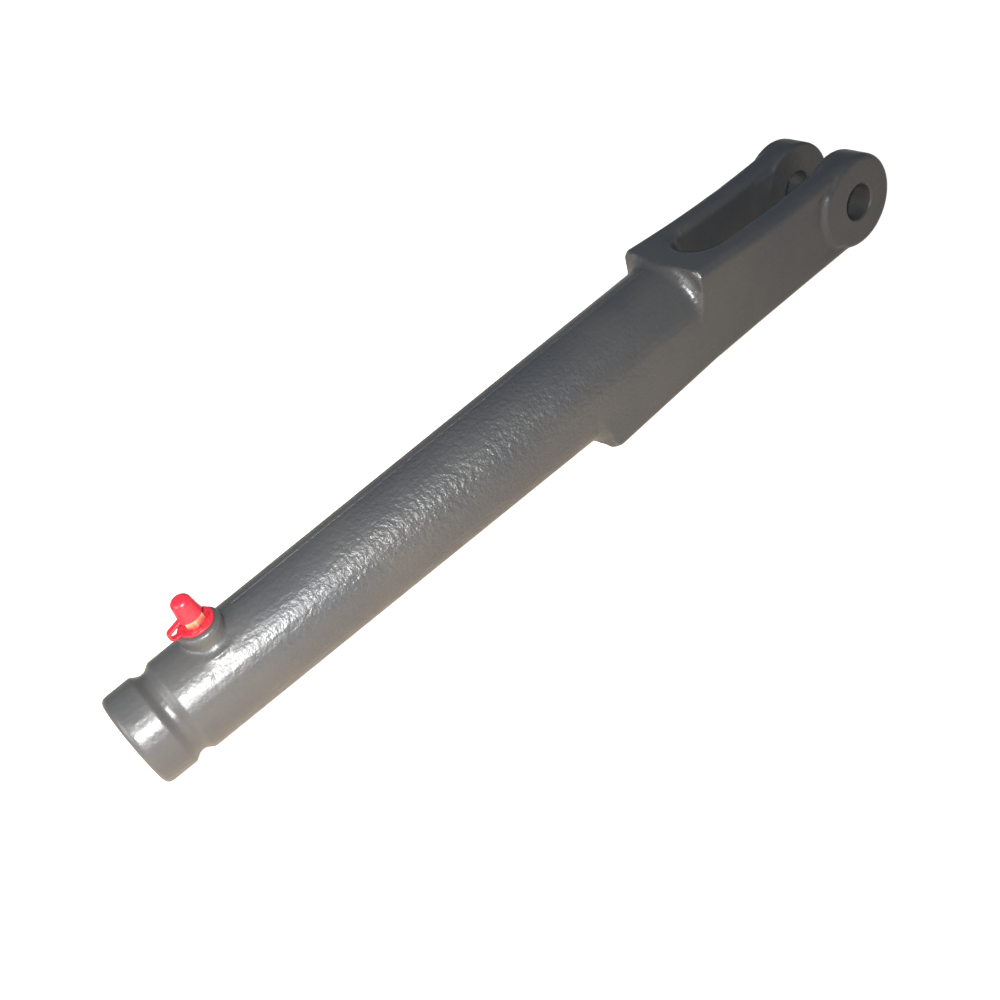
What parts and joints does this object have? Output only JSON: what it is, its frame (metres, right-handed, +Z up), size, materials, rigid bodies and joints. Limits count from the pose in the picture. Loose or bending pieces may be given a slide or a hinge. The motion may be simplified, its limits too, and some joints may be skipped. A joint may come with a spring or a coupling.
{
  "type": "tractor lift fork",
  "caption": "Cast lower fork of a tractor lift rod: a tapped round barrel with a boot groove, a square block and a clevis with bossed eyes, and a grease nipple with a tethered cap.",
  "frame": {"origin": "centre of the pin hole, midway between the two eyes", "axes": "+X runs from the open mouth of the barrel towards the eyes, +Y along the pin, +Z up, on the side of the grease nipple"},
  "size_m": [0.4826, 0.061, 0.0765],
  "materials": {
    "cast_body": "satin dark grey paint over a cast surface, with machined and painted bosses",
    "nipple": "yellow passivated, semi bright",
    "ball": "polished steel",
    "spring": "drawn wire",
    "tether_ring": "soft moulded plastic, slightly translucent",
    "tether_strap": "soft moulded plastic, slightly translucent",
    "cap": "soft moulded plastic, smooth"
  },
  "bodies": {
    "fork": {"fork_body": "cast_body", "grease_nipple": "nipple", "nipple_spring": "spring"},
    "ball": {"nipple_ball": "ball"},
    "tether": {"tether_ring": "tether_ring", "tether_strap": "tether_strap"},
    "cap": {"dust_cap": "cap"}
  },
  "joints": [
    {"name": "ball_press", "type": "slide", "parent": "fork", "child": "ball", "axis": [0, 0, -1], "range_m": [0, 0.0006], "stiffness_N_per_m": 450, "deforming": ["nipple_spring"]},
    {"name": "tether_swivel", "type": "hinge", "parent": "fork", "child": "tether", "pos_m": [-0.4047, 0, 0.0302], "axis": [0, 0, 1], "continuous": true},
    {"name": "cap_lift", "type": "slide", "parent": "tether", "child": "cap", "axis": [0, 0, 1], "range_m": [0, 0.01], "deforming": ["tether_strap"]}
  ]
}
